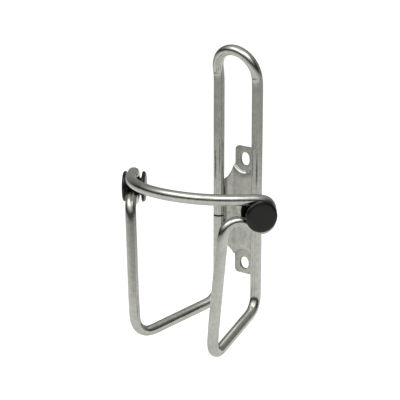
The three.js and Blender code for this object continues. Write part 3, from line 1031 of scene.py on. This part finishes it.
# The pin's dark colour is dirt and painted shade: it is seen only through the seam, inside the tube.
pin_dirt_and_shade_metal = metal(
    "seam_pin_dirt_and_shade_metal", (0.1, 0.1, 0.095), (0.18, 0.18, 0.17), (0.3, 0.42), 2200.0, 0.00001
)
plug_plastic = plastic("plug_plastic")

tube_piece(tube_metal)
pin_piece(pin_dirt_and_shade_metal)
plate_piece(sheet_metal)
for side_word, side in (("left", -1), ("right", 1)):
    for level, centre_z in WELD_CENTRES_Z.items():
        weld_piece(side, side_word, level, centre_z, bead_metal)
    plug_pieces(side, side_word, plug_plastic)

# ---------------------------------------------------------------- camera, floor and light

right = Vector((math.cos(AZIMUTH), math.sin(AZIMUTH), 0))
back = Vector((
    math.sin(AZIMUTH) * math.cos(ELEVATION),
    -math.cos(AZIMUTH) * math.cos(ELEVATION),
    math.sin(ELEVATION),
))
up = back.cross(right)
camera_data = bpy.data.cameras.new("camera")
camera_data.lens = LENS
camera_data.sensor_width = SENSOR
camera_data.clip_start = 0.01
camera = bpy.data.objects.new("camera", camera_data)
bpy.context.scene.collection.objects.link(camera)
turn = Matrix((right, up, back)).transposed().to_4x4()
place = right * CAMERA_RIGHT + up * CAMERA_UP + back * DISTANCE
camera.matrix_world = Matrix.Translation(place) @ turn
bpy.context.scene.camera = camera

floor_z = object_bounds()[0][2] - FLOOR_DROP
floor_mesh = bpy.data.meshes.new("floor")
floor_mesh.from_pydata(
    [(x * FLOOR_SIZE, y * FLOOR_SIZE, floor_z) for x, y in ((-1, -1), (1, -1), (1, 1), (-1, 1))],
    [], [(0, 1, 2, 3)],
)
floor = bpy.data.objects.new("floor", floor_mesh)
bpy.context.scene.collection.objects.link(floor)
paper = bpy.data.materials.new("pale_floor")
paper.use_nodes = True
paper_shader = paper.node_tree.nodes["Principled BSDF"]
paper_shader.inputs["Base Color"].default_value = (FLOOR_TONE, FLOOR_TONE, FLOOR_TONE, 1)
paper_shader.inputs["Roughness"].default_value = 0.9
paper_shader.inputs["Emission Color"].default_value = (1, 1, 1, 1)
paper_shader.inputs["Emission Strength"].default_value = FLOOR_GLOW
floor_mesh.materials.append(paper)
floor.visible_glossy = False


def emissive_card(name, corners, level_nodes):
    """A reflector that only shows in reflections. level_nodes builds its brightness."""
    mesh = bpy.data.meshes.new(name)
    mesh.from_pydata(corners, [], [tuple(range(len(corners)))])
    card = bpy.data.objects.new(name, mesh)
    bpy.context.scene.collection.objects.link(card)
    material = bpy.data.materials.new(name)
    material.use_nodes = True
    tree = material.node_tree
    tree.nodes.clear()
    output = tree.nodes.new("ShaderNodeOutputMaterial")
    emission = tree.nodes.new("ShaderNodeEmission")
    tree.links.new(emission.outputs[0], output.inputs["Surface"])
    tree.links.new(level_nodes(tree), emission.inputs["Color"])
    mesh.materials.append(material)
    card.visible_camera = False
    card.visible_diffuse = False
    card.visible_shadow = False
    return card


def ramp_node(tree, value, stops):
    """A colour ramp over (position, level) stops, near grey and a little warm."""
    ramp = tree.nodes.new("ShaderNodeValToRGB")
    elements = ramp.color_ramp.elements
    for element, (position, level) in zip(elements, (stops[0], stops[-1])):
        element.position = position
        element.color = (level, level, level * WARMTH, 1)
    for position, level in stops[1:-1]:
        element = elements.new(position)
        element.color = (level, level, level * WARMTH, 1)
    tree.links.new(value, ramp.inputs[0])
    return ramp.outputs[0]


def map_node(tree, value, low, high):
    """A value's place between low and high, from 0 to 1."""
    node = tree.nodes.new("ShaderNodeMapRange")
    node.inputs["From Min"].default_value = low
    node.inputs["From Max"].default_value = high
    tree.links.new(value, node.inputs["Value"])
    return node.outputs[0]


def separate(tree, vector, axes):
    """Components of a vector along fixed axes."""
    parts = []
    for axis in axes:
        dot = tree.nodes.new("ShaderNodeVectorMath")
        dot.operation = "DOT_PRODUCT"
        tree.links.new(vector, dot.inputs[0])
        dot.inputs[1].default_value = axis
        parts.append(dot.outputs["Value"])
    return parts


def combined(tree, operation, a, b):
    """Two colours multiplied or added."""
    node = tree.nodes.new("ShaderNodeVectorMath")
    node.operation = operation
    tree.links.new(a, node.inputs[0])
    tree.links.new(b, node.inputs[1])
    return node.outputs[0]


def card_level(tree):
    """Bright under the object, falling off with distance and towards the right."""
    coords = tree.nodes.new("ShaderNodeTexCoord")
    length = tree.nodes.new("ShaderNodeVectorMath")
    length.operation = "LENGTH"
    tree.links.new(coords.outputs["Object"], length.inputs[0])
    fall = ramp_node(tree, map_node(tree, length.outputs["Value"], 0.0, CARD_RADIUS), CARD_STOPS)
    sideways, = separate(tree, coords.outputs["Object"], [right])
    side = ramp_node(tree, map_node(tree, sideways, -CARD_SIDE, CARD_SIDE), CARD_SIDE_STOPS)
    return combined(tree, "MULTIPLY", fall, side)


card_turns = [2 * math.pi * i / CARD_CORNERS for i in range(CARD_CORNERS)]
card = emissive_card(
    "table_reflector",
    [(CARD_RADIUS * math.cos(a), CARD_RADIUS * math.sin(a), 0) for a in card_turns],
    card_level,
)
card.location = (0, CARD_CENTRE_Y, floor_z + CARD_LIFT)


def area_light(name, azimuth, elevation, distance, size, radiance):
    """A softbox that faces the object, with its angles in degrees and its sizes in metres."""
    data = bpy.data.lights.new(name, "AREA")
    data.shape = "RECTANGLE"
    data.size, data.size_y = size
    data.energy = radiance * math.pi * size[0] * size[1]
    lamp = bpy.data.objects.new(name, data)
    bpy.context.scene.collection.objects.link(lamp)
    a, e = math.radians(azimuth) + AZIMUTH, math.radians(elevation)
    direction = Vector((math.sin(a) * math.cos(e), -math.cos(a) * math.cos(e), math.sin(e)))
    lamp.location = direction * distance
    lamp.rotation_euler = direction.to_track_quat("Z", "Y").to_euler()


for name, values in SOFTBOXES.items():
    area_light(name, *values)


def turned_stops(stops):
    """Stops over degrees, put on a ramp that runs over the whole circle."""
    return [((angle + 180) / 360, level) for angle, level in stops]


def height_stops(stops):
    """Stops over elevation in degrees, put on a ramp that runs from nadir to zenith."""
    return [((math.sin(math.radians(angle)) + 1) / 2, level) for angle, level in stops]


world = bpy.data.worlds.new("studio")
bpy.context.scene.world = world
world.use_nodes = True
tree = world.node_tree
tree.nodes.clear()
out = tree.nodes.new("ShaderNodeOutputWorld")
sky = tree.nodes.new("ShaderNodeBackground")
tree.links.new(sky.outputs[0], out.inputs[0])
coords = tree.nodes.new("ShaderNodeTexCoord")
front = Vector((back.x, back.y, 0)).normalized()
ahead, sideways, rise = separate(
    tree, coords.outputs["Generated"], [front, right, Vector((0, 0, 1))]
)
bearing = tree.nodes.new("ShaderNodeMath")
bearing.operation = "ARCTAN2"
tree.links.new(sideways, bearing.inputs[0])
tree.links.new(ahead, bearing.inputs[1])
height = map_node(tree, rise, -1.0, 1.0)
circle = map_node(tree, bearing.outputs[0], -math.pi, math.pi)
base = ramp_node(tree, height, height_stops(BASE_STOPS))
glow = combined(
    tree, "MULTIPLY", ramp_node(tree, height, height_stops(GLOW_STOPS)),
    ramp_node(tree, circle, turned_stops(GLOW_SIDE_STOPS)),
)
wall = combined(
    tree, "MULTIPLY", ramp_node(tree, height, height_stops(WALL_STOPS)),
    ramp_node(tree, circle, turned_stops(WALL_SIDE_STOPS)),
)
total = combined(tree, "ADD", base, combined(tree, "ADD", glow, wall))
tree.links.new(total, sky.inputs["Color"])
sky.inputs["Strength"].default_value = 1.0

bpy.context.scene.view_settings.view_transform = "Standard"
